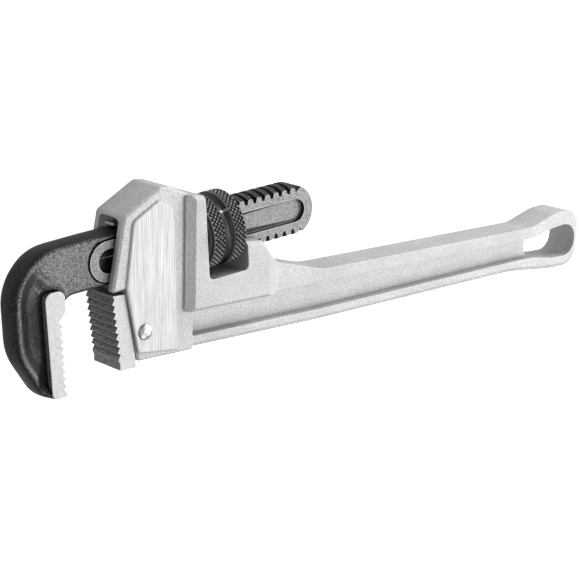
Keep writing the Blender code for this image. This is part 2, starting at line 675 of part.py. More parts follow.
def make_heel_jaw():
    lean = (HEEL_FACE_BOTTOM_X - HEEL_FACE_TOP_X) / (HEEL_TOP_Y - HEEL_BOTTOM_Y)
    seat_lean = (SEAT_BOTTOM_X - SEAT_TOP_X) / (LIP_BOTTOM[1] - HOUSING_BOTTOM)
    rear_top = SEAT_TOP_X - GAP
    rear_bottom = rear_top + seat_lean * (HEEL_TOP_Y - HEEL_BOTTOM_Y)
    tooth_tops = teeth_down(HEEL_FACE_TOP_X, HEEL_TOP_Y - 1.5 * MM, HEEL_TOOTH_PITCH, HEEL_TEETH, TOOTH_DEPTH, lean)
    jaw = plate("heel_block", [
        (rear_bottom, HEEL_BOTTOM_Y, 0.6 * MM), (rear_top, HEEL_TOP_Y),
        (HEEL_FACE_TOP_X + 0.6 * MM, HEEL_TOP_Y), *tooth_tops,
        (HEEL_FACE_BOTTOM_X, HEEL_BOTTOM_Y + 3.0 * MM), (HEEL_FACE_BOTTOM_X, HEEL_BOTTOM_Y)],
        -HEEL_HALF, HEEL_HALF, LAYOUT)
    tang = plate("heel_tang", [
        (rear_bottom - 2.0 * MM, HOUSING_BOTTOM + 1.0 * MM, 1.0 * MM),
        (PIN_AT[0] + HEEL_TANG_DEPTH / 2 - GAP, HOUSING_BOTTOM + 1.0 * MM, 2.0 * MM),
        (PIN_AT[0] + HEEL_TANG_DEPTH / 2 - GAP, LIP_BOTTOM[1] - TANG_DROP - GAP, 3.0 * MM),
        (rear_top - 2.0 * MM, LIP_BOTTOM[1] - TANG_DROP - GAP)], -HEEL_TANG_HALF, HEEL_TANG_HALF, LAYOUT)
    boolean(jaw, tang, "UNION")
    hole = rod("heel_hole", (*PIN_AT, -FAR), (*PIN_AT, FAR), PIN_RADIUS + GAP, PIN_STEPS, LAYOUT)
    boolean(jaw, hole, "DIFFERENCE")
    return finish(jaw, "heel_jaw", MATERIALS["ground_steel"], LAYOUT)


def make_heel_pin():
    face = HOUSING_HALF + PANEL_RISE + GAP
    top = face + PIN_HEAD_RISE
    profile = [
        (0.0, top), (PIN_HEAD_RADIUS * 0.5, top - 0.15 * PIN_HEAD_RISE),
        (PIN_HEAD_RADIUS * 0.87, top - 0.5 * PIN_HEAD_RISE), (PIN_HEAD_RADIUS, face), (PIN_RADIUS, face),
        (PIN_RADIUS, -face), (PIN_HEAD_RADIUS, -face), (PIN_HEAD_RADIUS * 0.87, -top + 0.5 * PIN_HEAD_RISE),
        (PIN_HEAD_RADIUS * 0.5, -top + 0.15 * PIN_HEAD_RISE), (0.0, -top)]
    pin = turned("pin", profile, PIN_STEPS, LAYOUT)
    close_and_face_out(pin)
    pin.data.transform(Matrix.Translation((*PIN_AT, 0.0)))
    return finish(pin, "heel_jaw_pin", MATERIALS["ground_steel"], LAYOUT)


def make_flat_spring():
    """Leaf under the roof: flat at its rivet, then down to the top of the shank at the mouth."""
    roof = roof_height(LEAF_REAR_S) - GAP
    thickness = LEAF_THICKNESS
    bend = COIL_AT_S - 6.0 * MM
    touch = THREAD_RADIUS + GAP
    front = LEAF_FRONT_S
    top_at_bend = roof_height(bend) - GAP
    leaf = plate("leaf", [
        (LEAF_REAR_S, roof), (bend, top_at_bend, 6.0 * MM), (front + 3.0 * MM, touch + thickness, 2.0 * MM),
        (front, touch + thickness + 1.0 * MM), (front - 0.4 * MM, touch + 1.0 * MM),
        (front + 3.0 * MM, touch, 2.5 * MM), (bend, top_at_bend - thickness, 6.0 * MM),
        (LEAF_REAR_S, roof - thickness)], -LEAF_WIDTH / 2, LEAF_WIDTH / 2, SHANK)
    hole = rod("leaf_hole", (RIVET_AT_S, 0.0, 0.0), (RIVET_AT_S, FAR, 0.0), RIVET_RADIUS + GAP / 2, PIN_STEPS, SHANK)
    boolean(leaf, hole, "DIFFERENCE")
    return finish(leaf, "flat_spring", MATERIALS["spring_steel"], SHANK)


def make_spring_rivet():
    roof = roof_height(RIVET_AT_S)
    underside = roof - 2 * GAP - LEAF_THICKNESS
    head = 2.2 * MM
    profile = [
        (0.0, RIVET_LENGTH - GAP), (RIVET_RADIUS, RIVET_LENGTH - GAP), (RIVET_RADIUS, underside - roof),
        (head, underside - roof), (head * 0.8, underside - roof - 0.6 * MM), (0.0, underside - roof - 0.8 * MM)]
    rivet = turned("rivet", profile, PIN_STEPS, SHANK)
    close_and_face_out(rivet)
    rivet.data.transform(Matrix.Translation((RIVET_AT_S, roof, 0.0)) @ Matrix.Rotation(-math.pi / 2, 4, "X"))
    return finish(rivet, "spring_rivet", MATERIALS["spring_steel"], SHANK)


def make_coil_spring():
    """Small coil in the roof's pocket, above the leaf."""
    per_turn = 14
    roof = roof_height(COIL_AT_S)
    low = roof - GAP + COIL_WIRE + GAP
    pitch = (COIL_HEIGHT - 2 * COIL_WIRE - 2 * GAP) / COIL_TURNS
    curve = bpy.data.curves.new("coil_wire", "CURVE")
    curve.dimensions = "3D"
    curve.bevel_depth = COIL_WIRE
    curve.bevel_resolution = 2
    curve.use_fill_caps = True
    spline = curve.splines.new("POLY")
    count = COIL_TURNS * per_turn
    spline.points.add(count)
    for i, point in enumerate(spline.points):
        angle = 2 * math.pi * i / per_turn
        height = low + pitch * i / per_turn
        point.co = (COIL_AT_S + COIL_RADIUS * math.cos(angle), height, COIL_RADIUS * math.sin(angle), 1.0)
    wire = add_object("coil_wire", curve, None, CUTTERS)
    return finish(wire, "coil_spring", MATERIALS["spring_steel"], SHANK)


def stand_on_origin():
    """Move the whole wrench so that the middle of its footprint is the origin."""
    bpy.context.view_layer.update()
    pieces = [thing for thing in PARTS.objects if thing.type == "MESH"]
    places = [piece.matrix_world @ vert.co for piece in pieces for vert in piece.data.vertices]
    for axis in (0, 1):
        along = [place[axis] for place in places]
        LAYOUT.location[axis] = -(min(along) + max(along)) / 2
    LAYOUT.location[2] = -min(place[2] for place in places)


clear_scene()
PARTS = new_collection("pipe_wrench")
CUTTERS = new_collection("cutters")
MATERIALS = {
    "cast_aluminium": metal("cast_aluminium", ALUMINIUM, 0.45),
    "black_steel": metal("black_steel", BLACK_STEEL, 0.45),
    "ground_steel": metal("ground_steel", GROUND_STEEL, 0.35),
    "spring_steel": metal("spring_steel", SPRING_STEEL, 0.3),
}
LAYOUT = empty("wrench_frame", None)
SHANK = empty("shank_axis", LAYOUT, turn=SHANK_TILT)
make_handle_body()
make_hook_jaw()
make_nut()
make_heel_jaw()
make_heel_pin()
make_flat_spring()
make_spring_rivet()
make_coil_spring()
stand_on_origin()
CUTTERS.hide_render = True
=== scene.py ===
# %% [markdown]
# A pipe wrench, 350 mm long, lies on its side. Its body is one aluminium casting, the hook jaw is a
# black steel forging with a thread along its shank, and a knurled ring nut moves the jaw. The packed
# CAD model is the frame: every piece made here stands where that model says and moves with one of its
# bodies.

# %% Load the frame
import math

import bmesh
import bpy
import numpy as np
from mathutils import Matrix, Vector
from mathutils.geometry import delaunay_2d_cdt


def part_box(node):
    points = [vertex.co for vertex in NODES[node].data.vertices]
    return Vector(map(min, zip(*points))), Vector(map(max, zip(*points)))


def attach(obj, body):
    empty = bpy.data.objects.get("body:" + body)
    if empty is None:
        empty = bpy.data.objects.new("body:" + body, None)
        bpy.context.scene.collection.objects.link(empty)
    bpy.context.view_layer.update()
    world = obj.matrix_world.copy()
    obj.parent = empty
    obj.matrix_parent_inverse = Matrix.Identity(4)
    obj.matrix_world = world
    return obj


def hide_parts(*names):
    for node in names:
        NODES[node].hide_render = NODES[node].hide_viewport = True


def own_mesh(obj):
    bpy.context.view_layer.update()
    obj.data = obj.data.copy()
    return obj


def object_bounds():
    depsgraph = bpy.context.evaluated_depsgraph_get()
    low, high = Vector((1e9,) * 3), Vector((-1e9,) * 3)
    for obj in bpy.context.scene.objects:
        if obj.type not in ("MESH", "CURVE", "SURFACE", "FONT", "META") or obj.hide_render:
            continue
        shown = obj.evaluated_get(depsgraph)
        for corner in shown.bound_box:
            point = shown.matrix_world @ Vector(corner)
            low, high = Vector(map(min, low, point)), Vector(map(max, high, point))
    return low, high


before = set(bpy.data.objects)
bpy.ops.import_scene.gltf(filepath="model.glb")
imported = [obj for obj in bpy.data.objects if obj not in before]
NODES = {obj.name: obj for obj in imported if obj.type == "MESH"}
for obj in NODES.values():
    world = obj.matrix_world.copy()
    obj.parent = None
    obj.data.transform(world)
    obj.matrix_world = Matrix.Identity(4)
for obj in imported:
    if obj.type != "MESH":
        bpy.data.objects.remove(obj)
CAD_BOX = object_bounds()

MM = 0.001

# %% [markdown]
# Everything on the wrench is laid out about the centre of its adjusting nut, because the shank, the
# window and the jaws all take their places from it. The shank leans a little across the handle, so
# one frame is kept for places along the handle and another for places along the shank.

# %% Where things are
nut_low, nut_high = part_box("adjusting_nut")
NUT_CENTRE = (nut_low + nut_high) / 2
SHANK_TILT = math.radians(4.6)
SHANK_FRAME = Matrix.Translation(NUT_CENTRE) @ Matrix.Rotation(SHANK_TILT, 4, "Z")
LAYOUT_FRAME = Matrix.Translation(NUT_CENTRE)


def in_layout(x, y, z):
    """Point given in millimetres along the handle, up the housing and across the wrench."""
    return LAYOUT_FRAME @ (Vector((x, y, z)) * MM)


print("nut centre (mm):", [round(v / MM, 2) for v in NUT_CENTRE])

# %% [markdown]
# The wrench is seen from its jaw end and from above. A long lens keeps the handle nearly parallel, as
# a catalogue view does. The camera comes first, so that every later step can be judged from it.

# %% Camera
eye = in_layout(-514.0, 193.15, 638.3)
right = Vector((0.75358, 0.02332, 0.65694))
up = Vector((0.15349, 0.96550, -0.21034))
back = right.cross(up)
lens = bpy.data.cameras.new("view")
lens.lens = 118.1
lens.sensor_width = 36.0
lens.clip_start = 0.05
camera = bpy.data.objects.new("view", lens)
bpy.context.scene.collection.objects.link(camera)
pose = Matrix((right, up, back)).transposed().to_4x4()
pose.translation = eye
camera.matrix_world = pose
bpy.context.scene.camera = camera
print("camera is", round((eye - NUT_CENTRE).length, 3), "m from the nut")

# %% [markdown]
# The stage is a plain pale floor under soft light. A wide main lamp stands beyond the loop end, where
# the flat sides of the wrench mirror it, so they are bright. A low lamp above the handle lifts its
# top edge, while the upper flange keeps that light off the channel's inner wall. One below is caught
# by the hollow of the hook, and a small one behind the viewer draws the thin gleam along the hook's
# back. The floor shines for the camera only, so that it stays white without flooding the wrench from
# beneath.

# %% Stage and light


def area_light(name, place, target, size, power):
    light = bpy.data.lights.new(name, "AREA")
    light.shape = "DISK"
    light.size = size
    light.energy = power
    lamp = bpy.data.objects.new(name, light)
    bpy.context.scene.collection.objects.link(lamp)
    lamp.location = place
    lamp.rotation_euler = (Vector(target) - Vector(place)).to_track_quat("-Z", "Y").to_euler()


FLOOR_GLOW = 0.12
ROOM_LIGHT = 0.27
FLOOR_REACH = 6.0
CENTRE = (0.0, 0.0, 0.0)
JAWS = (-0.15, 0.0, 0.0)
HOOK_BACK = (-0.16, 0.0, 0.0)
LAMPS = [
    ("main", (0.95, -0.08, 1.05), CENTRE, 1.1, 16.0),
    ("low", (0.12, -0.87, 1.06), JAWS, 0.24, 3.6),
    ("top", (1.05, 0.98, 0.36), CENTRE, 0.8, 14.0),
    ("gleam", (-0.85, 0.20, 0.88), HOOK_BACK, 0.18, 2.2)]
floor_mesh = bpy.data.meshes.new("floor")
floor_corners = [(x * FLOOR_REACH, y * FLOOR_REACH, 0.0) for x, y in ((-1, -1), (1, -1), (1, 1), (-1, 1))]
floor_mesh.from_pydata(floor_corners, [], [(0, 1, 2, 3)])
floor = bpy.data.objects.new("floor", floor_mesh)
bpy.context.scene.collection.objects.link(floor)
floor.location.z = CAD_BOX[0][2]
paper = bpy.data.materials.new("pale_floor")
paper.use_nodes = True
paper_shader = paper.node_tree.nodes["Principled BSDF"]
paper_shader.inputs["Base Color"].default_value = (0.55, 0.55, 0.55, 1.0)
paper_shader.inputs["Roughness"].default_value = 0.9
paper_shader.inputs["Specular IOR Level"].default_value = 0.1
paper_shader.inputs["Emission Strength"].default_value = 1.0
seen = paper.node_tree.nodes.new("ShaderNodeLightPath")
glow = paper.node_tree.nodes.new("ShaderNodeMix")
glow.data_type = "RGBA"
glow.inputs[6].default_value = (FLOOR_GLOW, FLOOR_GLOW, FLOOR_GLOW, 1.0)
glow.inputs[7].default_value = (1.0, 1.0, 1.0, 1.0)
paper.node_tree.links.new(seen.outputs["Is Camera Ray"], glow.inputs[0])
paper.node_tree.links.new(glow.outputs[2], paper_shader.inputs["Emission Color"])
floor_mesh.materials.append(paper)

world = bpy.data.worlds.new("room")
bpy.context.scene.world = world
world.use_nodes = True
world.node_tree.nodes["Background"].inputs["Color"].default_value = (1.0, 1.0, 1.0, 1.0)
world.node_tree.nodes["Background"].inputs["Strength"].default_value = ROOM_LIGHT
for name, place, target, size, power in LAMPS:
    area_light(name, place, target, size, power)
bpy.context.scene.view_settings.view_transform = "Standard"
print("floor at", round(floor.location.z, 4))

# %% [markdown]
# Four effects are shared by the finishes, so each is a node group that is built once. Grain is the
# fine pebbling of a blasted casting or a forging scale, edge wear finds corners by comparing a
# rounded normal with the true one, the crease shade group finds inner corners by ambient occlusion
# for painted shade, and brushing stretches noise along one direction into fine scratches.

# %% Node helpers


class Graph:
    """Small wrapper that adds nodes to a tree and links them."""

    def __init__(self, tree):
        self.tree = tree

    def node(self, kind, **settings):
        made = self.tree.nodes.new(kind)
        inputs = settings.pop("inputs", {})
        for key, value in settings.items():
            setattr(made, key, value)
        for key, value in inputs.items():
            self.feed(made, key, value)
        return made

    def feed(self, node, key, value):
        if isinstance(value, bpy.types.NodeSocket):
            self.tree.links.new(value, node.inputs[key])
        else:
            node.inputs[key].default_value = value

    def math(self, operation, a, b=0.0):
        made = self.node("ShaderNodeMath", operation=operation)
        self.feed(made, 0, a)
        self.feed(made, 1, b)
        return made.outputs[0]

    def ramp(self, value, low, high, to_low=0.0, to_high=1.0):
        made = self.node("ShaderNodeMapRange")
        limits = {"From Min": low, "From Max": high, "To Min": to_low, "To Max": to_high}
        self.feed(made, "Value", value)
        for key, number in limits.items():
            self.feed(made, key, number)
        return made.outputs["Result"]

    def mix(self, factor, a, b):
        made = self.node("ShaderNodeMix", data_type="RGBA")
        self.feed(made, 0, factor)
        self.feed(made, 6, a)
        self.feed(made, 7, b)
        return made.outputs[2]


def new_group(name, inputs, outputs):
    """Node group with named sockets; inputs are (name, default), outputs are names."""
    tree = bpy.data.node_groups.new(name, "ShaderNodeTree")
    for label, value in inputs:
        socket = tree.interface.new_socket(label, in_out="INPUT", socket_type="NodeSocketFloat")
        socket.default_value = value
    for label in outputs:
        tree.interface.new_socket(label, in_out="OUTPUT", socket_type="NodeSocketFloat")
    graph = Graph(tree)
    return graph, graph.node("NodeGroupInput"), graph.node("NodeGroupOutput")


def use_group(graph, tree, **values):
    made = graph.node("ShaderNodeGroup")
    made.node_tree = tree
    for key, value in values.items():
        graph.feed(made, key.replace("_", " "), value)
    return made


# %% Grain group
grain, grain_in, grain_out = new_group(
    "grain", [("Scale", 1500.0), ("Mottle Scale", 90.0)], ["Height", "Mottle"])
place = grain.node("ShaderNodeTexCoord").outputs["Object"]
fine = grain.node("ShaderNodeTexNoise", inputs={
    "Vector": place, "Scale": grain_in.outputs["Scale"], "Detail": 4.0, "Roughness": 0.6})
wide = grain.node("ShaderNodeTexNoise", inputs={
    "Vector": place, "Scale": grain_in.outputs["Mottle Scale"], "Detail": 3.0})
grain.feed(grain_out, "Height", fine.outputs["Fac"])
grain.feed(grain_out, "Mottle", wide.outputs["Fac"])
GRAIN = grain.tree

# %% Edge group
edges, edges_in, edges_out = new_group("edge_wear", [("Width", 0.0006), ("Break Up", 0.5)], ["Mask"])
edges_place = edges.node("ShaderNodeTexCoord").outputs["Object"]
rounded = edges.node("ShaderNodeBevel", samples=4, inputs={"Radius": edges_in.outputs["Width"]})
true_normal = edges.node("ShaderNodeNewGeometry").outputs["Normal"]
facing = edges.node("ShaderNodeVectorMath", operation="DOT_PRODUCT")
edges.feed(facing, 0, rounded.outputs["Normal"])
edges.feed(facing, 1, true_normal)
turned = edges.math("SUBTRACT", 1.0, facing.outputs["Value"])
patchy = edges.node("ShaderNodeTexNoise", inputs={"Vector": edges_place, "Scale": 260.0, "Detail": 3.0})
uneven = edges.math("SUBTRACT", patchy.outputs["Fac"], 0.35)
broken = edges.math("MULTIPLY", uneven, edges_in.outputs["Break Up"])
mask = edges.ramp(edges.math("ADD", turned, broken), 0.06, 0.3)
worn = edges.math("MULTIPLY", mask, edges.ramp(turned, 0.015, 0.05))
edges.feed(edges_out, "Mask", worn)
EDGE_WEAR = edges.tree

# %% Crease shade group
crease_shade, crease_shade_in, crease_shade_out = new_group("crease_shade", [("Reach", 0.0012)], ["Mask"])
# Painted shade: ambient occlusion marks inner corners so that each finish can darken them.
corner = crease_shade.node("ShaderNodeAmbientOcclusion", samples=8, inputs={
    "Distance": crease_shade_in.outputs["Reach"]})
crease_shade.feed(crease_shade_out, "Mask", crease_shade.ramp(corner.outputs["AO"], 0.9, 0.45))
CREASE_SHADE = crease_shade.tree

# %% Brushing group
brush, brush_in, brush_out = new_group("brushing", [("Across", 4000.0), ("Along", 60.0)], ["Height"])
brush_place = brush.node("ShaderNodeTexCoord").outputs["Object"]
stretch = brush.node("ShaderNodeCombineXYZ")
for axis, source in (("X", "Across"), ("Y", "Along"), ("Z", "Along")):
    brush.feed(stretch, axis, brush_in.outputs[source])
scaled = brush.node("ShaderNodeVectorMath", operation="MULTIPLY")
brush.feed(scaled, 0, brush_place)
brush.feed(scaled, 1, stretch.outputs[0])
lines = brush.node("ShaderNodeTexNoise", inputs={
    "Vector": scaled.outputs[0], "Scale": 1.0, "Detail": 3.0, "Roughness": 0.7})
brush.feed(brush_out, "Height", lines.outputs["Fac"])
BRUSHING = brush.tree
print("node groups:", [tree.name for tree in bpy.data.node_groups])

# %% [markdown]
# The body is cast in sand and blasted with beads, which leaves a matt, pebbled, slightly uneven grey.
# The raised panel on each side of the housing is ground flat afterwards and keeps upright brush
# marks. Both finishes are on one casting, so one material holds both: the distance from the middle
# plane and the place along the handle tell which one a point gets.

# %% Cast aluminium


def start_material(name):
    material = bpy.data.materials.new(name)
    material.use_nodes = True
    graph = Graph(material.node_tree)
    return material, graph, material.node_tree.nodes["Principled BSDF"]


def heights(graph):
    """Distance from the middle plane, place along the handle and place up the housing, all in metres."""
    split = graph.node("ShaderNodeSeparateXYZ")
    graph.feed(split, 0, graph.node("ShaderNodeTexCoord").outputs["Object"])
    across = graph.math("ABSOLUTE", graph.math("SUBTRACT", split.outputs["Z"], NUT_CENTRE.z))
    return across, split.outputs["X"], split.outputs["Y"]


def bump(graph, shader, height, depth):
    made = graph.node("ShaderNodeBump", inputs={"Height": height, "Distance": depth, "Strength": 1.0})
    graph.feed(shader, "Normal", made.outputs["Normal"])
    return made


PANEL_FROM_Z = 11.35 * MM
BLOCK_FOOT = NUT_CENTRE.x - 24.0 * MM
ROUNDING = 0.7 * MM
CAST_DARK = (0.60, 0.605, 0.61, 1)
CAST_PALE = (0.74, 0.745, 0.75, 1)
CAST_PITS = (0.46, 0.465, 0.47, 1)
CAST_WALL_SHADE = (0.22, 0.22, 0.22, 1)
CAST_CREASE_SHADE = (0.16, 0.16, 0.16, 1)
CAST_EDGE_WEAR_HIGHLIGHT = (0.88, 0.88, 0.885, 1)
BRUSHED_DARK = (0.38, 0.385, 0.39, 1)
BRUSHED_PALE = (0.72, 0.725, 0.73, 1)


def facing_side(graph):
    """How far a face looks sideways across the wrench: 1 on its flat sides, 0 on its walls."""
    split = graph.node("ShaderNodeSeparateXYZ")
    graph.feed(split, 0, graph.node("ShaderNodeNewGeometry").outputs["True Normal"])
    return graph.math("ABSOLUTE", split.outputs["Z"])


aluminium, g, shader = start_material("blasted_aluminium")
grain_node = use_group(g, GRAIN, Scale=1150.0, Mottle_Scale=45.0)
brush_node = use_group(g, BRUSHING, Across=2600.0, Along=45.0)
edge_node = use_group(g, EDGE_WEAR, Width=0.0008, Break_Up=0.12)
crease_shade_node = use_group(g, CREASE_SHADE, Reach=0.0009)
hollow_shade_node = use_group(g, CREASE_SHADE, Reach=0.008)
across, along, _ = heights(g)
high_up = g.math("GREATER_THAN", across, PANEL_FROM_Z)
on_panel = g.math("MULTIPLY", high_up, g.math("LESS_THAN", along, BLOCK_FOOT))
cast_colour = g.mix(g.ramp(grain_node.outputs["Mottle"], 0.3, 0.7), CAST_DARK, CAST_PALE)
speckled = g.mix(g.ramp(grain_node.outputs["Height"], 0.32, 0.66), CAST_PITS, cast_colour)
# Painted shade: walls deep in the channel's hollows are darkened towards a dark grey.
inner_wall_shade = g.math("MULTIPLY", hollow_shade_node.outputs["Mask"], g.ramp(facing_side(g), 0.75, 0.45))
speckled = g.mix(g.math("MULTIPLY", inner_wall_shade, 0.6), speckled, CAST_WALL_SHADE)
streak = g.ramp(brush_node.outputs["Height"], 0.32, 0.66)
brushed = g.mix(streak, BRUSHED_DARK, BRUSHED_PALE)
plain = g.mix(on_panel, speckled, brushed)
# Painted shade: inner corners of the casting are darkened to a thin dark line.
crease_shaded = g.mix(g.math("MULTIPLY", crease_shade_node.outputs["Mask"], 0.65), plain, CAST_CREASE_SHADE)
# Edges lighten towards a pale grey, partly as wear and partly as painted highlight.
g.feed(shader, "Base Color", g.mix(edge_node.outputs["Mask"], crease_shaded, CAST_EDGE_WEAR_HIGHLIGHT))
g.feed(shader, "Roughness", g.ramp(on_panel, 0.0, 1.0, 0.60, 0.52))
shader.inputs["Metallic"].default_value = 0.4
cast_height = g.math("MULTIPLY", grain_node.outputs["Height"], g.math("SUBTRACT", 1.0, on_panel))
brush_height = g.math("MULTIPLY", brush_node.outputs["Height"], g.math("MULTIPLY", on_panel, 0.3))
pebbled = bump(g, shader, g.math("ADD", cast_height, brush_height), 0.00045)
soft_corner = g.node("ShaderNodeBevel", samples=4, inputs={"Radius": ROUNDING})
g.feed(pebbled, "Normal", soft_corner.outputs["Normal"])
print("made", aluminium.name)

# %% [markdown]
# The hook jaw and the nut are black: the steel is heated and quenched in oil, which leaves a dark
# satin skin with a fine speckle. Corners that rub against pipe and hands wear back to grey. Where the
# forging has been ground, on its flats and beside its teeth, the bare steel shows, so a second
# material carries that: a face that looks sideways is ground, and a face that was cut, such as the
# flank of a tooth, keeps a dark skin with a bright tip.

# %% Black steel and ground steel
FLAT_FLOOR_Z = 5.6 * MM
CREST_Z = 5.4 * MM
# Bounds of a patch near the hook's throat that gets paler steel, as wear and as painted sheen.
RUBBED_SHEEN_FROM = NUT_CENTRE.x - 101.0 * MM
RUBBED_SHEEN_TO = NUT_CENTRE.x - 91.0 * MM
RUBBED_SHEEN_END = NUT_CENTRE.x - 64.0 * MM
RUBBED_SHEEN_LOW = NUT_CENTRE.y - 20.0 * MM
RUBBED_SHEEN_HIGH = NUT_CENTRE.y - 11.0 * MM
SCALE_DARK = (0.014, 0.014, 0.014, 1)
SCALE_PALE = (0.032, 0.032, 0.032, 1)
SCALE_CREASE_SHADE = (0.004, 0.004, 0.004, 1)
BARED_DARK = (0.03, 0.03, 0.03, 1)
RUBBED_SHEEN_PALE = (0.17, 0.168, 0.165, 1)
CREST_WEAR_HIGHLIGHT_PALE = (0.15, 0.148, 0.146, 1)
SPECK = (0.11, 0.109, 0.107, 1)
WORN_STEEL = (0.30, 0.297, 0.29, 1)
black_steel, g, shader = start_material("black_forged_steel")
grain_node = use_group(g, GRAIN, Scale=1250.0, Mottle_Scale=120.0)
edge_node = use_group(g, EDGE_WEAR, Width=0.0007, Break_Up=0.4)
crease_shade_node = use_group(g, CREASE_SHADE, Reach=0.0022)
across, along, upward = heights(g)
# Worn steel and painted sheen: sideways faces of a patch at the hook's throat get a paler steel, partly
# rubbed bare and partly standing for a reflection of the light.
on_neck = g.math("MULTIPLY", g.ramp(along, RUBBED_SHEEN_FROM, RUBBED_SHEEN_TO), g.ramp(upward, RUBBED_SHEEN_LOW, RUBBED_SHEEN_HIGH))
on_neck = g.math("MULTIPLY", on_neck, g.ramp(along, RUBBED_SHEEN_END, RUBBED_SHEEN_END - 8.0 * MM))
rubbed_sheen = g.math("MULTIPLY", on_neck, g.ramp(facing_side(g), 0.55, 0.92))
scale_skin = g.mix(g.ramp(grain_node.outputs["Mottle"], 0.3, 0.75), SCALE_DARK, SCALE_PALE)
rubbed_sheen_skin = g.mix(g.ramp(grain_node.outputs["Height"], 0.4, 0.62), BARED_DARK, RUBBED_SHEEN_PALE)
# Worn crest and painted highlight: the crest of the hook's rim gets a paler speckled steel, partly rubbed
# bare and partly standing for the gleam along the rim.
crest_wear_highlight = g.math("MULTIPLY", g.ramp(across, CREST_Z, CREST_Z + 0.6 * MM), g.ramp(facing_side(g), 0.5, 0.8))
crest_wear_highlight_skin = g.mix(g.ramp(grain_node.outputs["Height"], 0.42, 0.6), BARED_DARK, CREST_WEAR_HIGHLIGHT_PALE)
skin = g.mix(g.math("MULTIPLY", crest_wear_highlight, 0.8), scale_skin, crest_wear_highlight_skin)
skin = g.mix(rubbed_sheen, skin, rubbed_sheen_skin)
skin = g.mix(g.ramp(grain_node.outputs["Height"], 0.56, 0.74), skin, SPECK)
# Painted shade: inner corners of the forging are darkened nearly to black.
skin = g.mix(crease_shade_node.outputs["Mask"], skin, SCALE_CREASE_SHADE)
above_floor = g.ramp(across, FLAT_FLOOR_Z, FLAT_FLOOR_Z + 0.7 * MM)
on_corner = g.math("MAXIMUM", above_floor, g.ramp(facing_side(g), 0.97, 0.9))
worn_corner = g.math("MULTIPLY", edge_node.outputs["Mask"], on_corner)
g.feed(shader, "Base Color", g.mix(worn_corner, skin, WORN_STEEL))
g.feed(shader, "Roughness", g.ramp(grain_node.outputs["Mottle"], 0.2, 0.8, 0.34, 0.46))
shader.inputs["Metallic"].default_value = 0.85
g.feed(shader, "Coat Weight", g.ramp(g.math("MAXIMUM", rubbed_sheen, crest_wear_highlight), 0.0, 1.0, 0.10, 0.40))
shader.inputs["Coat Roughness"].default_value = 0.25
bump(g, shader, grain_node.outputs["Height"], 0.00036)

NUT_DARK = (0.030, 0.030, 0.030, 1)
NUT_PALE = (0.065, 0.065, 0.065, 1)
NUT_TIP_WEAR_GLINT = (0.30, 0.297, 0.293, 1)
NUT_CREASE_SHADE = (0.006, 0.006, 0.006, 1)
nut_steel, g, shader = start_material("black_nut_steel")
grain_node = use_group(g, GRAIN, Scale=1800.0, Mottle_Scale=160.0)
crease_shade_node = use_group(g, CREASE_SHADE, Reach=0.0009)
# Worn tips and painted glint: the points of the knurl diamonds are lightened towards grey, partly as wear
# and partly standing for glints.
tips = g.ramp(g.node("ShaderNodeNewGeometry").outputs["Pointiness"], 0.503, 0.54)
skin = g.mix(g.ramp(grain_node.outputs["Mottle"], 0.3, 0.75), NUT_DARK, NUT_PALE)
skin = g.mix(tips, skin, NUT_TIP_WEAR_GLINT)
# Painted shade: inner corners of the knurl and the groove are darkened.
g.feed(shader, "Base Color", g.mix(crease_shade_node.outputs["Mask"], skin, NUT_CREASE_SHADE))
g.feed(shader, "Roughness", g.ramp(grain_node.outputs["Mottle"], 0.2, 0.8, 0.36, 0.48))
shader.inputs["Metallic"].default_value = 0.85
bump(g, shader, grain_node.outputs["Height"], 0.00012)


SIDEWAYS = 0.9
CUT_DARK = (0.06, 0.06, 0.06, 1)
CUT_CREASE_SHADE = (0.02, 0.02, 0.02, 1)
BRIGHT_TIP = (0.80, 0.80, 0.80, 1)


def make_ground_steel(name, dark, pale, flank):
    """Ground flats between two greys; cut flanks stay darker with bright tips."""
    flat_dark = (dark, dark, dark, 1)
    flat_pale = (pale, pale, pale * 0.99, 1)
    cut_pale = (flank, flank, flank * 0.98, 1)
    material, g, shader = start_material(name)
    grain_node = use_group(g, GRAIN, Scale=1400.0, Mottle_Scale=260.0)
    brush_node = use_group(g, BRUSHING, Across=250.0, Along=3000.0)
    edge_node = use_group(g, EDGE_WEAR, Width=0.0006, Break_Up=0.1)
    crease_shade_node = use_group(g, CREASE_SHADE, Reach=0.0016)
    is_side = g.math("GREATER_THAN", facing_side(g), SIDEWAYS)
    steel = g.mix(g.ramp(grain_node.outputs["Height"], 0.3, 0.6), flat_dark, flat_pale)
    cut = g.mix(g.ramp(grain_node.outputs["Height"], 0.35, 0.62), CUT_DARK, cut_pale)
    steel = g.mix(is_side, cut, steel)
    # Painted shade: inner corners, such as the roots of the teeth, are darkened.
    steel = g.mix(crease_shade_node.outputs["Mask"], steel, CUT_CREASE_SHADE)
    g.feed(shader, "Base Color", g.mix(edge_node.outputs["Mask"], steel, BRIGHT_TIP))
    g.feed(shader, "Roughness", g.ramp(brush_node.outputs["Height"], 0.3, 0.7, 0.48, 0.60))
    shader.inputs["Metallic"].default_value = 0.45
    bump(g, shader, g.math("ADD", grain_node.outputs["Height"], brush_node.outputs["Height"]), 0.00014)
    return material


ground_steel = make_ground_steel("ground_steel", 0.46, 0.62, 0.42)
shank_steel = make_ground_steel("shank_steel", 0.11, 0.34, 0.19)

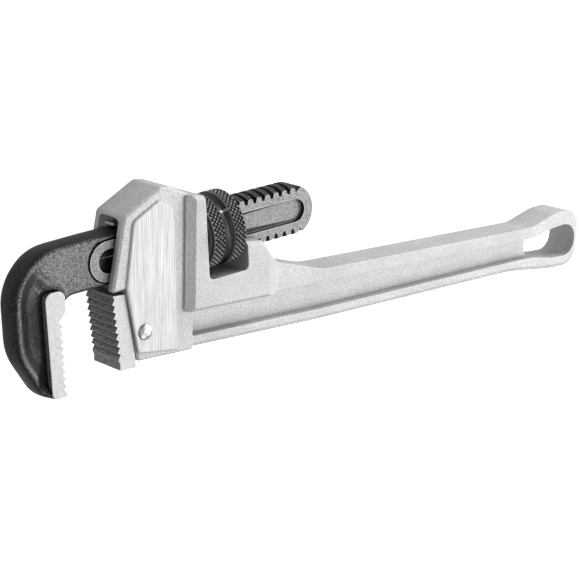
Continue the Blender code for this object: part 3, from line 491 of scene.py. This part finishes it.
ROLLED_DARK = (0.30, 0.30, 0.31, 1)
ROLLED_PALE = (0.62, 0.62, 0.63, 1)
spring_steel, g, shader = start_material("spring_steel")
brush_node = use_group(g, BRUSHING, Across=200.0, Along=4000.0)
rolled = g.mix(brush_node.outputs["Height"], ROLLED_DARK, ROLLED_PALE)
g.feed(shader, "Base Color", rolled)
g.feed(shader, "Roughness", g.ramp(brush_node.outputs["Height"], 0.3, 0.7, 0.30, 0.44))
g.feed(shader, "Metallic", 1.0)
bump(g, shader, brush_node.outputs["Height"], 0.00005)
print("made", black_steel.name, ground_steel.name, spring_steel.name)

# %% [markdown]
# The casting, the heel jaw, its pin, the rivet and the coil spring have the right shape in the CAD
# model, so they stay and only get their finish. The pieces that are replaced further down get one as
# well.

# %% Finishes of the carried pieces


def give(node, material):
    thing = NODES[node]
    thing.data.materials.clear()
    thing.data.materials.append(material)


give("handle_body", aluminium)
give("heel_jaw", ground_steel)
for name in ("heel_jaw_pin", "flat_spring", "spring_rivet", "coil_spring"):
    give(name, spring_steel)
give("hook_jaw", black_steel)
give("adjusting_nut", nut_steel)

# %% [markdown]
# The ring nut is turned with a plain groove in its middle, and the two bands beside the groove are
# knurled: two crossing sets of fine helical cuts leave rows of small diamonds that a thumb can grip.
# A texture would not catch the light at the nut's rim, so the diamonds are real geometry, a fine grid
# wrapped round the ring whose radius follows the two sets of cuts.

# %% Knurled nut
NUT_RADIUS = 16.8 * MM
NUT_BORE = 12.8 * MM
NUT_HALF = 9.7 * MM
GROOVE_HALF = 1.9 * MM
GROOVE_DEPTH = 1.6 * MM
RIM_CHAMFER = 1.8 * MM
KNURL_COUNT = 46
KNURL_DEPTH = 0.9 * MM
KNURL_STEP = 2.3 * MM
FACES_PER_DIAMOND = 8
AROUND = KNURL_COUNT * FACES_PER_DIAMOND
ALONG = 96
GROOVE_END = GROOVE_HALF + 0.7 * MM
BAND_END = NUT_HALF - 1.1 * MM
GROOVE_CURVE = 0.6
CUT_FROM = 0.25
FADE_AT_GROOVE = 0.5 * MM
FADE_AT_END = 0.4 * MM
KEPT_AT_END = 0.25


def nut_radius(s, angle):
    """Radius of the knurled ring at a place along it and around it."""
    if abs(s) < GROOVE_END:
        return NUT_RADIUS - GROOVE_DEPTH * math.cos(0.5 * math.pi * abs(s) / GROOVE_END) ** GROOVE_CURVE
    if abs(s) > BAND_END:
        return NUT_RADIUS - RIM_CHAMFER * (abs(s) - BAND_END) / (NUT_HALF - BAND_END)
    left_cut = abs(((s / KNURL_STEP + KNURL_COUNT * angle / (2 * math.pi)) % 1.0) - 0.5) * 2
    right_cut = abs(((s / KNURL_STEP - KNURL_COUNT * angle / (2 * math.pi)) % 1.0) - 0.5) * 2
    cut = max(left_cut, right_cut)
    from_groove = (abs(s) - GROOVE_END) / FADE_AT_GROOVE
    from_end = (BAND_END - abs(s)) / FADE_AT_END + KEPT_AT_END
    fade = min(1.0, from_groove, from_end)
    return NUT_RADIUS - KNURL_DEPTH * fade * max(0.0, (cut - CUT_FROM) / (1.0 - CUT_FROM))


def make_knurled_nut():
    rings = []
    steps = [-NUT_HALF + 2 * NUT_HALF * i / ALONG for i in range(ALONG + 1)]
    bm = bmesh.new()
    profile_ends = [(-NUT_HALF, NUT_BORE), *[(s, None) for s in steps], (NUT_HALF, NUT_BORE)]
    for s, fixed in profile_ends:
        ring = []
        for k in range(AROUND):
            angle = 2 * math.pi * k / AROUND
            radius = fixed if fixed else nut_radius(s, angle)
            ring.append(bm.verts.new((s, radius * math.cos(angle), radius * math.sin(angle))))
        rings.append(ring)
    for near, far in zip(rings, rings[1:] + rings[:1]):
        for k in range(AROUND):
            following = (k + 1) % AROUND
            bm.faces.new((near[k], near[following], far[following], far[k]))
    bmesh.ops.recalc_face_normals(bm, faces=bm.faces)
    mesh = bpy.data.meshes.new("knurled_nut")
    bm.to_mesh(mesh)
    bm.free()
    mesh.transform(SHANK_FRAME)
    return mesh


def add_piece(name, mesh, material, body, smooth_angle=40.0):
    """Put a finished mesh in the scene, with its material, on its body."""
    thing = bpy.data.objects.new(name, mesh)
    bpy.context.scene.collection.objects.link(thing)
    mesh.materials.clear()
    mesh.materials.append(material)
    mesh.shade_smooth()
    mesh.set_sharp_from_angle(angle=math.radians(smooth_angle))
    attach(thing, body)
    return thing


nut = add_piece("knurled_nut", make_knurled_nut(), nut_steel, "nut", 60.0)
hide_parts("adjusting_nut")
print("nut:", len(nut.data.polygons), "faces")

# %% [markdown]
# The leaf spring is riveted to the roof of the housing and presses on the shank. When the jaw rocks,
# the shank pushes the leaf flat against the roof. The CAD leaf is stiff; a copy of it stands in its
# place, fixed to the body.

# %% Leaf spring
leaf = add_piece("leaf_spring", NODES["flat_spring"].data.copy(), spring_steel, "body")
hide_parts("flat_spring")
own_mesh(leaf)
print("leaf spring:", len(leaf.data.polygons), "faces")

# %% [markdown]
# The hook is a drop forging. Its sides are pinched between two dies, which leaves a rounded rim all
# round, a slightly sunken web inside the rim and no sharp corner. It is made as a pillow: points fill
# the hook's outline, the distance of each point to the outline gives its half thickness, and the same
# skin is used for both sides.

# %% Outline of the hook
ARC = math.radians(6.0)
STRAIGHT = math.radians(179.0)


def filleted(corners):
    """Outline in the shank's frame with rounded corners: each corner is (s, t) or (s, t, radius), in mm."""
    outline = []
    count = len(corners)
    for i, corner in enumerate(corners):
        here = Vector(corner[:2])
        radius = corner[2] if len(corner) > 2 else 0.0
        to_last = (Vector(corners[i - 1][:2]) - here).normalized()
        to_next = (Vector(corners[(i + 1) % count][:2]) - here).normalized()
        angle = to_last.angle(to_next)
        if radius <= 0.0 or angle > STRAIGHT:
            outline.append(here)
            continue
        cut = radius / math.tan(angle / 2)
        centre = here + (to_last + to_next).normalized() * radius / math.sin(angle / 2)
        first = here + to_last * cut - centre
        turn = first.angle_signed(here + to_next * cut - centre)
        steps = max(3, round(abs(turn) / ARC))
        for k in range(steps + 1):
            outline.append(centre + Matrix.Rotation(-turn * k / steps, 2) @ first)
    return outline


HOOK_FRONT = -106.6
HOOK_TIP = -55.3
HOOK_TOP = 11.6
NECK_TOP = 12.3
NECK_BOTTOM = -11.4
NECK_END = -43.0
TEETH_FACE = -83.9
NOSE_S = TEETH_FACE + 2.4
forging_corners = [
    (NECK_END, NECK_BOTTOM), (NECK_END, NECK_TOP), (-66.0, NECK_TOP),
    (HOOK_FRONT, HOOK_TOP, 24.0), (HOOK_FRONT - 0.5, HOOK_TIP + 23.4, 25.0),
    (HOOK_FRONT + 10.1, HOOK_TIP + 4.3, 12.5), (HOOK_FRONT + 18.6, HOOK_TIP, 6.0),
    (TEETH_FACE - 1.6, HOOK_TIP + 0.3, 1.0), (TEETH_FACE - 2.0, -22.5),
    (NOSE_S - 0.2, -18.5, 1.5), (NOSE_S - 0.2, NECK_BOTTOM, 5.1)]
forging_outline = filleted(forging_corners)
print("hook outline:", len(forging_outline), "points")

# %% Distances to the outline


def distance_to(outline, points):
    """Distance of each point to a closed outline."""
    a = np.array([tuple(p) for p in outline])
    b = np.roll(a, -1, axis=0)
    edge = b - a
    length = np.maximum((edge ** 2).sum(1), 1e-12)
    best = np.full(len(points), 1e9)
    for i in range(len(a)):
        t = np.clip(((points - a[i]) @ edge[i]) / length[i], 0.0, 1.0)
        near = a[i] + t[:, None] * edge[i]
        best = np.minimum(best, np.hypot(*(points - near).T))
    return best


def inside(outline, points):
    """True for points inside a closed outline."""
    a = np.array([tuple(p) for p in outline])
    b = np.roll(a, -1, axis=0)
    result = np.zeros(len(points), bool)
    for (x0, y0), (x1, y1) in zip(a, b):
        crosses = (y0 > points[:, 1]) != (y1 > points[:, 1])
        if y1 != y0:
            at = x0 + (points[:, 1] - y0) * (x1 - x0) / (y1 - y0)
            result ^= crosses & (points[:, 0] < at)
    return result


def inset(outline, amount):
    """Points at a set distance inside a closed outline that runs either way."""
    a = np.array([tuple(p) for p in outline])
    last = np.roll(a, 1, axis=0)
    following = np.roll(a, -1, axis=0)
    along = following - last
    along /= np.maximum(np.hypot(*along.T), 1e-9)[:, None]
    normal = np.stack([-along[:, 1], along[:, 0]], 1)
    moved = a + normal * amount
    if inside(outline, moved).mean() < 0.5:
        moved = a - normal * amount
    return moved


# %% [markdown]
# Half thickness against distance from the outline: a quarter round up to the rim, then a smooth fall
# to the sunken web. The neck keeps its full thickness with tighter corners, and a ramp in the shape
# of an arc joins it to the web. Under the ground flats of the neck the skin drops, because the flats
# are their own raised surface, which leaves a thin dark ring round them.

# %% Thickness of the hook
RIM_HALF = 6.1
WEB_HALF = 3.3
SKIN_UNDER_FLAT = 2.0
RIM_ROUND = 2.2
NECK_ROUND = 1.8
RIM_WIDTH = 2.2
RIM_FALL = 7.5
RAMP_CENTRE = (-78.0, 9.0)
RAMP_NEAR = 14.5
RAMP_FAR = 22.0
FLAT_CENTRE = (-59.0, 0.0)
FLAT_RADIUS = 8.9
FLAT_EDGE_INSIDE = 1.4
FLAT_EDGE_OUTSIDE = 0.5
LAND_LEFT = -91.3
LAND_TOP = -7.0
LAND_FADE_FROM = LAND_LEFT - 7.0
LAND_FADE_TO = LAND_LEFT - 2.0
LAND_FADE_UP = 4.0
LOW_NECK_S = (-87.0, -82.0)
LOW_NECK_T = (-16.0, -11.0)


def smooth(value, low, high):
    t = np.clip((value - low) / (high - low), 0.0, 1.0)
    return t * t * (3 - 2 * t)


def forging_half(points):
    """Half thickness in mm at places given in the shank's frame."""
    d = distance_to(forging_outline, points)
    s, t = points.T
    from_neck = np.hypot(s - RAMP_CENTRE[0], t - RAMP_CENTRE[1])
    low_neck = smooth(s, *LOW_NECK_S) * smooth(t, *LOW_NECK_T)
    on_neck = np.maximum(1 - smooth(from_neck, RAMP_NEAR, RAMP_FAR), low_neck)
    edge_round = RIM_ROUND + (NECK_ROUND - RIM_ROUND) * on_neck
    rise = np.clip(d / edge_round, 0.0, 1.0)
    rim = RIM_HALF * np.sqrt(np.maximum(1 - (1 - rise) ** 2, 0.0))
    below_land_top = 1 - smooth(t, LAND_TOP, LAND_TOP + LAND_FADE_UP)
    beside_land = smooth(s, LAND_FADE_FROM, LAND_FADE_TO) * below_land_top
    beside_land = beside_land * smooth(t - HOOK_TIP, RIM_WIDTH, RIM_WIDTH + RIM_FALL)
    sunk = np.maximum(smooth(d, RIM_WIDTH, RIM_WIDTH + RIM_FALL), beside_land) * (1 - on_neck)
    half = np.minimum(rim, RIM_HALF - (RIM_HALF - WEB_HALF) * sunk)
    flat_d = np.hypot(s - np.maximum(s, FLAT_CENTRE[0]), t)
    under_flat = 1 - smooth(flat_d, FLAT_RADIUS - FLAT_EDGE_INSIDE, FLAT_RADIUS + FLAT_EDGE_OUTSIDE)
    return half * (1 - under_flat) + np.minimum(half, SKIN_UNDER_FLAT) * under_flat


GRID_STEP = 1.1
GRID_CLEARANCE = 3.9
RIM_STEP = 0.9
RIM_INSETS = (0.12, 0.45, 1.0, 1.7, 2.5, 3.3)
KEPT_SHARE = 0.93
s_values = np.arange(HOOK_FRONT, NECK_END, GRID_STEP)
t_values = np.arange(HOOK_TIP, NECK_TOP, GRID_STEP)
places = []
for row, t in enumerate(t_values):
    shift = 0.5 * GRID_STEP if row % 2 else 0.0
    places += [(s + shift, t) for s in s_values]
grid = np.array(places)
grid = grid[inside(forging_outline, grid)]
grid = grid[distance_to(forging_outline, grid) > GRID_CLEARANCE]


def evenly(outline, step):
    """The outline again, with points no further apart than a step."""
    made = []
    for a, b in zip(outline, outline[1:] + outline[:1]):
        count = max(1, math.ceil((b - a).length / step))
        made += [a.lerp(b, k / count) for k in range(count)]
    return made


dense = evenly(forging_outline, RIM_STEP)
ring_points = []
for amount in RIM_INSETS:
    moved = inset(dense, amount)
    keep = inside(forging_outline, moved) & (distance_to(forging_outline, moved) > amount * KEPT_SHARE)
    ring_points.append(moved[keep])
interior = np.concatenate([*ring_points, grid])
print("skin points:", len(dense) + len(interior))

# %% Skin of the hook


def make_forging():
    border = [(p.x, p.y) for p in dense]
    points = [Vector(p) for p in border] + [Vector(p) for p in interior]
    count = len(border)
    rim_edges = [(i, (i + 1) % count) for i in range(count)]
    flat, _, triangles, _, _, _ = delaunay_2d_cdt(points, rim_edges, [list(range(count))], 1, 1e-5)
    places = np.array([tuple(p) for p in flat])
    half = forging_half(places)
    on_border = distance_to(dense, places) < 1e-3
    bm = bmesh.new()
    top, bottom = [], []
    for (s, t), h, edge in zip(places, half, on_border):
        if edge:
            shared = bm.verts.new((s, t, 0.0))
            top.append(shared)
            bottom.append(shared)
        else:
            top.append(bm.verts.new((s, t, h)))
            bottom.append(bm.verts.new((s, t, -h)))
    for triangle in triangles:
        bm.faces.new([top[i] for i in triangle])
        if not all(on_border[i] for i in triangle):
            bm.faces.new([bottom[i] for i in reversed(triangle)])
    bmesh.ops.recalc_face_normals(bm, faces=bm.faces)
    mesh = bpy.data.meshes.new("hook_forging")
    bm.to_mesh(mesh)
    bm.free()
    mesh.transform(Matrix.Scale(MM, 4))
    mesh.transform(SHANK_FRAME)
    return mesh


forging = add_piece("hook_forging", make_forging(), black_steel, "hook_jaw", 80.0)
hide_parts("hook_jaw")
print("hook forging:", len(forging.data.polygons), "faces")

# %% [markdown]
# The land beside the teeth is ground flat and bright, and the teeth are cut through it. It is a plate
# of its own, a touch proud of the forging, with a fine bevel so that its rim catches the light.

# %% Toothed land
LAND_HALF = 6.45
FIRST_TOOTH = -20.5
TOOTH_PITCH = 3.3
TOOTH_DEPTH = 1.4
TOOTH_FLANK = 0.75 * TOOTH_PITCH
TEETH = 10
LAND_EDGE = 0.12


def flat_plate(name, outline, half, edge_width):
    """Solid plate from an outline in mm in the shank's frame, with a bevelled rim."""
    bm = bmesh.new()
    rim = [bm.verts.new((p.x * MM, p.y * MM, -half * MM)) for p in outline]
    base = bm.faces.new(rim)
    raised = bmesh.ops.extrude_face_region(bm, geom=[base])
    lifted = [item for item in raised["geom"] if isinstance(item, bmesh.types.BMVert)]
    bmesh.ops.translate(bm, vec=(0.0, 0.0, 2 * half * MM), verts=lifted)
    bmesh.ops.recalc_face_normals(bm, faces=bm.faces)
    flat_edges = [e for e in bm.edges if abs(e.verts[0].co.z - e.verts[1].co.z) < 1e-7]
    bmesh.ops.bevel(bm, geom=flat_edges, offset=edge_width * MM, segments=1, affect="EDGES")
    mesh = bpy.data.meshes.new(name)
    bm.to_mesh(mesh)
    bm.free()
    mesh.transform(SHANK_FRAME)
    return mesh


land_corners = [
    (LAND_LEFT, HOOK_TIP + 1.5, 3.0), (LAND_LEFT, LAND_TOP, 3.6), (NOSE_S, LAND_TOP, 3.6),
    (NOSE_S, FIRST_TOOTH + 4.0, 1.5)]
for i in range(TEETH):
    top = FIRST_TOOTH - i * TOOTH_PITCH
    land_corners.append((TEETH_FACE - TOOTH_DEPTH, top))
    land_corners.append((TEETH_FACE, top - TOOTH_FLANK))
land_corners.append((TEETH_FACE, HOOK_TIP + 1.5))
add_piece(
    "tooth_land", flat_plate("tooth_land", filleted(land_corners), LAND_HALF, LAND_EDGE), ground_steel,
    "hook_jaw", 35.0)
print("tooth land:", TEETH, "teeth")

# %% [markdown]
# The shank keeps the thread and the ground flats of the CAD model. Its hook end is left off, because
# the forging above stands there. The flats and the floor of the long recess behind the nut are ground
# steel, while the thread and the small recess in the neck stay black.

# %% Threaded shank
HOOK_ROOT = -44.2 * MM
FLAT_REACH = (FLAT_RADIUS + 0.1) * MM
GROUND_FROM_Z = 6.3 * MM


def make_shank():
    bm = bmesh.new()
    bm.from_mesh(NODES["hook_jaw"].data)
    to_shank = SHANK_FRAME.inverted()
    flat_start = FLAT_CENTRE[0] * MM
    doomed = []
    for face in bm.faces:
        c = to_shank @ face.calc_center_median()
        on_flat = math.hypot(min(0.0, c.x - flat_start), c.y) < FLAT_REACH
        if c.x < HOOK_ROOT and not on_flat:
            doomed.append(face)
    bmesh.ops.delete(bm, geom=doomed, context="FACES")
    mesh = bpy.data.meshes.new("threaded_shank")
    bm.to_mesh(mesh)
    bm.free()
    return mesh


shank = add_piece("threaded_shank", make_shank(), black_steel, "hook_jaw", 32.0)
shank.data.materials.append(shank_steel)
for face in shank.data.polygons:
    across_z = abs(face.center.z - NUT_CENTRE.z)
    behind_nut = face.center.x > NUT_CENTRE.x
    ground = abs(face.normal.z) > SIDEWAYS and (across_z > GROUND_FROM_Z or behind_nut)
    face.material_index = 1 if ground else 0
print("threaded shank:", len(shank.data.polygons), "faces")
